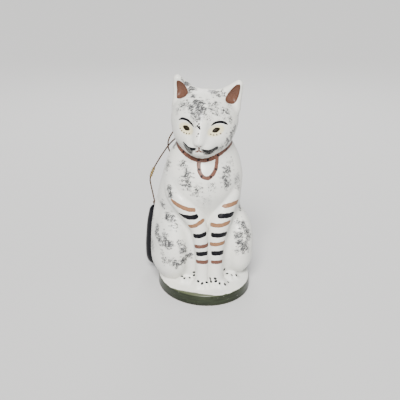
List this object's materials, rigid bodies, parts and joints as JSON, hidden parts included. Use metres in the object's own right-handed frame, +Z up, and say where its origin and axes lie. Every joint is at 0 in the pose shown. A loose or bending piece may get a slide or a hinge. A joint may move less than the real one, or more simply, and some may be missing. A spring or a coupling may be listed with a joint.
{
  "type": "ceramic cat figurine",
  "caption": "Seated hollow pottery cat on an oval green-rimmed plinth, with striped forelegs, a painted collar, a dark tail and a thin cord at its back.",
  "frame": {"origin": "middle of the plinth's flat underside", "axes": "+Z up, the cat's chest faces -Y, its right side is -X"},
  "size_m": [0.104, 0.1043, 0.2007],
  "materials": {
    "white_glaze": "satin",
    "green_glaze": "satin",
    "black_glaze": "gloss",
    "brown_cord": "matte",
    "gold_thread": "satin"
  },
  "bodies": {
    "root": {"base_plinth": "green_glaze", "torso_shell": "white_glaze", "head_shell": "white_glaze", "right_ear": "white_glaze", "left_ear": "white_glaze", "right_haunch": "white_glaze", "left_haunch": "white_glaze", "right_foreleg": "white_glaze", "left_foreleg": "white_glaze", "right_hind_paw": "white_glaze", "left_hind_paw": "white_glaze", "tail": "black_glaze", "cord": "brown_cord", "shoulder_knot": "brown_cord", "tail_tie": "brown_cord", "cord_whipping": "gold_thread"}
  },
  "joints": []
}
